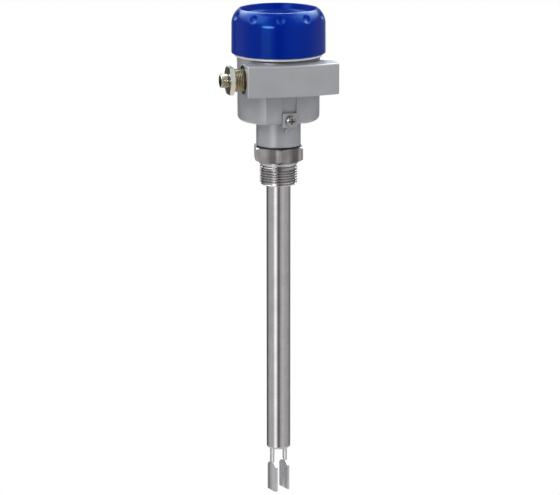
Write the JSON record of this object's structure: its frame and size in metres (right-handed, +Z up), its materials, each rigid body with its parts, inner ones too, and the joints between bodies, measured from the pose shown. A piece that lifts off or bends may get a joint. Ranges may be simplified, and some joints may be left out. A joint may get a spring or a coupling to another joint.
{
  "type": "vibrating fork level switch",
  "caption": "Screw-in liquid level switch: a short steel fork on a long tube, under a turnable grey housing with a blue screw lid and a side plug connector.",
  "frame": {"origin": "centre of the sealing face under the process hexagon, on the probe axis", "axes": "+Z up along the probe axis from the fork to the lid, +X towards the blind end of the cable entry bar (the plug connector is at -X), -Y towards the front of the entry bar"},
  "size_m": [0.1019, 0.0897, 0.4392],
  "materials": {
    "paint_blue": "gloss powder coat",
    "paint_grey": "satin powder coat",
    "turned_stainless": "turned",
    "stainless_tube": "ground and polished",
    "fork_stainless": "satin",
    "spring_steel": "oiled",
    "nickel": "nickel plated",
    "brass_plain": "rolled",
    "gold_pin": "gold plated",
    "rubber_black": "moulded",
    "ceramic_white": "fired",
    "plastic_white": "moulded",
    "plastic_black": "moulded",
    "plastic_grey": "moulded",
    "plastic_terminal": "moulded",
    "board_green": "solder mask",
    "wire_red": "extruded",
    "wire_blue": "extruded",
    "wire_black": "extruded",
    "lamp_lens": "clear moulded"
  },
  "bodies": {
    "probe": {"process_fitting": "turned_stainless", "extension_tube": "stainless_tube", "fork_base": "stainless_tube", "drive_bolt": "turned_stainless", "piezo_rings": "ceramic_white", "electrode_discs": "brass_plain", "insulating_discs": "ceramic_white", "preload_nut": "turned_stainless", "probe_leads": "wire_red", "lead_guides": "plastic_white", "feedthrough": "turned_stainless", "feedthrough_pins": "gold_pin", "sensor_plug": "plastic_black", "neck_seal": "rubber_black", "retaining_ring": "spring_steel"},
    "tine_left": {"tine_left": "fork_stainless"},
    "tine_right": {"tine_right": "fork_stainless"},
    "head": {"housing": "paint_grey", "sensor_lead": "wire_black", "electronics_cup": "plastic_grey", "electronics_cover": "plastic_grey", "circuit_board": "board_green", "board_components": "plastic_black", "terminal_block": "plastic_terminal", "terminal_screws": "nickel", "fixing_screws": "nickel", "switch_block": "plastic_black", "status_lamp": "lamp_lens", "connector_body": "nickel", "connector_seal": "rubber_black", "connector_insert": "plastic_black", "connector_pins": "gold_pin", "connector_leads": "wire_blue", "blind_plug": "nickel", "blind_plug_seal": "rubber_black"},
    "mode_lever": {"mode_lever": "plastic_white"},
    "density_lever": {"density_lever": "plastic_white"},
    "ground_clamp": {"ground_clamp": "nickel"},
    "ground_screw": {"ground_screw": "nickel"},
    "lid_gasket": {"lid_gasket": "rubber_black"},
    "lid": {"lid": "paint_blue"}
  },
  "joints": [
    {"name": "head_turn", "type": "hinge", "parent": "probe", "child": "head", "pos_m": [0, 0, 0.0142], "axis": [0, 0, 1], "range_deg": [-165, 165]},
    {"name": "lid_lift", "type": "slide", "parent": "head", "child": "lid_gasket", "axis": [0, 0, 1], "range_m": [0, 0.008]},
    {"name": "lid_turn", "type": "hinge", "parent": "lid_gasket", "child": "lid", "pos_m": [0, 0, 0.105], "axis": [0, 0, 1], "range_deg": [0, 1440]},
    {"name": "tine_left_sway", "type": "hinge", "parent": "probe", "child": "tine_left", "pos_m": [-0.00642, -0.0019, -0.2643], "axis": [-0.284, 0.9588, 0], "range_deg": [-0.15, 0.15], "stiffness_Nm_per_rad": 0.6},
    {"name": "tine_right_sway", "type": "hinge", "parent": "probe", "child": "tine_right", "pos_m": [0.00642, 0.0019, -0.2643], "axis": [-0.284, 0.9588, 0], "range_deg": [-0.15, 0.15], "stiffness_Nm_per_rad": 0.6},
    {"name": "ground_clamp_slide", "type": "slide", "parent": "head", "child": "ground_clamp", "axis": [0, -1, 0], "range_m": [0, 0.0032]},
    {"name": "ground_screw_turn", "type": "hinge", "parent": "ground_clamp", "child": "ground_screw", "pos_m": [0.0015, -0.035, 0.041], "axis": [0, -1, 0], "range_deg": [0, 1440]},
    {"name": "mode_switch_slide", "type": "slide", "parent": "head", "child": "mode_lever", "axis": [1, 0, 0], "range_m": [0, 0.0024]},
    {"name": "density_switch_slide", "type": "slide", "parent": "head", "child": "density_lever", "axis": [1, 0, 0], "range_m": [0, 0.0024]}
  ],
  "couplings": [
    {"joint": "lid_lift", "follows": "lid_turn", "m_per_rad": 0.00031831},
    {"joint": "tine_right_sway", "follows": "tine_left_sway", "ratio": -1},
    {"joint": "ground_screw_turn", "follows": "ground_clamp_slide", "rad_per_m": 7853.9}
  ]
}
